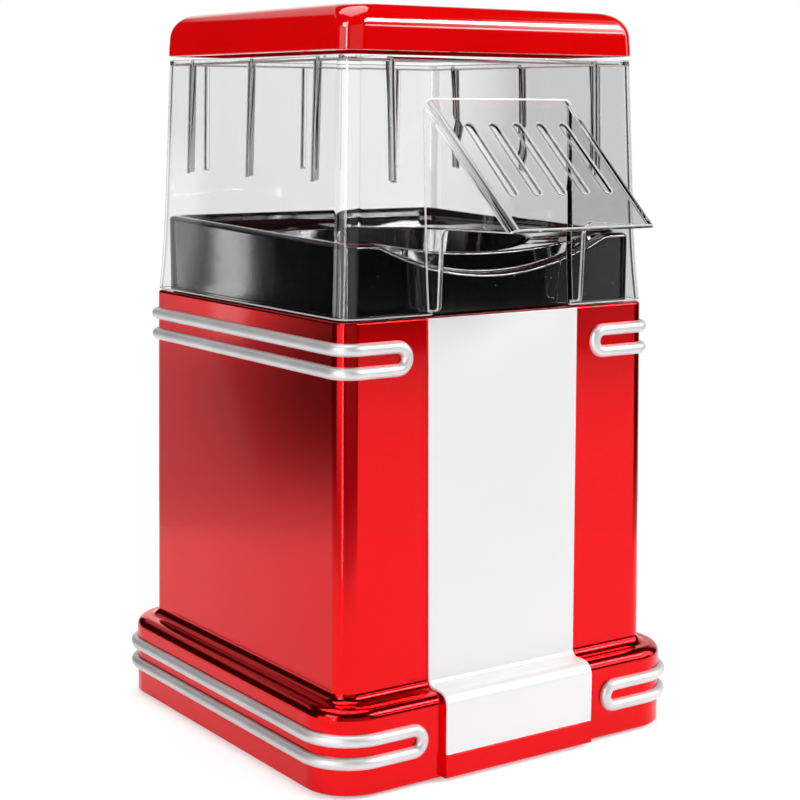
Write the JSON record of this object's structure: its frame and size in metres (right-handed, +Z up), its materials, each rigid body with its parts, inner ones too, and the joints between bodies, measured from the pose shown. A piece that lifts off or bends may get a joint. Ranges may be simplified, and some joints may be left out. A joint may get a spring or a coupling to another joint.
{
  "type": "popcorn maker",
  "caption": "Hot-air popcorn maker with a square tapered case on a wide plinth, a clear lift-off hood with a sloping vented spout, and a lift-off lid.",
  "frame": {"origin": "on the ground, under the middle of the whole footprint (case, rear trim and spout)", "axes": "+Z up, -Y out of the spout at the front, +X to the right seen from the front"},
  "size_m": [0.182, 0.2196, 0.3016],
  "materials": {
    "red_metallic": "metallic red lacquer on moulded plastic",
    "red_gloss": "high-gloss red plastic",
    "panel_grey": "satin light grey",
    "silver": "satin silver plating",
    "clear": "clear polycarbonate",
    "black_gloss": "polished black",
    "black_matte": "fine matt black",
    "aluminium": "spun aluminium",
    "steel": "zinc-plated steel",
    "mica": "pressed mica",
    "wire": "drawn resistance wire",
    "board": "green solder mask",
    "rubber": "black rubber",
    "insulation": "off-white sleeving"
  },
  "bodies": {
    "base": {"body_shell": "red_metallic", "front_panel": "panel_grey", "upper_trim": "silver", "lower_trim": "silver", "deck": "black_gloss", "popping_chamber": "aluminium", "air_duct": "black_matte", "mica_frame": "mica", "heater_coil": "wire", "motor_can": "steel", "motor_bracket": "black_matte", "rectifier_board": "board", "diode_1": "black_matte", "diode_2": "black_matte", "diode_3": "black_matte", "diode_4": "black_matte", "smoothing_capacitor": "aluminium", "thermostat": "black_matte", "thermal_fuse": "aluminium", "switch_housing": "black_matte", "cord_gland": "rubber", "lead_wire_1": "insulation", "lead_wire_2": "insulation", "lead_wire_3": "insulation", "bottom_cover": "black_matte", "foot_front_left": "rubber", "foot_front_right": "rubber", "foot_rear_left": "rubber", "foot_rear_right": "rubber", "cover_screw_1": "steel", "cover_screw_2": "steel", "cover_screw_3": "steel", "cover_screw_4": "steel", "deck_screw_1": "steel", "deck_screw_2": "steel", "deck_screw_3": "steel", "deck_screw_4": "steel", "duct_screw_1": "steel", "duct_screw_2": "steel", "duct_screw_3": "steel", "duct_screw_4": "steel", "bracket_screw_1": "steel", "bracket_screw_2": "steel", "bracket_screw_3": "steel", "bracket_screw_4": "steel", "motor_screw_1": "steel", "motor_screw_2": "steel"},
    "hood": {"hood": "clear"},
    "lid": {"lid": "red_gloss"},
    "rocker": {"switch_rocker": "black_gloss"},
    "rotor": {"motor_shaft": "steel", "impeller": "black_matte"}
  },
  "joints": [
    {"name": "hood_lift", "type": "slide", "parent": "base", "child": "hood", "axis": [0, 0, 1], "range_m": [0, 0.12]},
    {"name": "lid_lift", "type": "slide", "parent": "hood", "child": "lid", "axis": [0, 0, 1], "range_m": [0, 0.06]},
    {"name": "switch_rock", "type": "hinge", "parent": "base", "child": "rocker", "pos_m": [0.034, 0.09517, 0.075], "axis": [1, 0, 0], "range_deg": [0, 20]},
    {"name": "fan_spin", "type": "hinge", "parent": "base", "child": "rotor", "pos_m": [0, 0.0172, 0.0745], "axis": [0, 0, 1], "continuous": true}
  ]
}
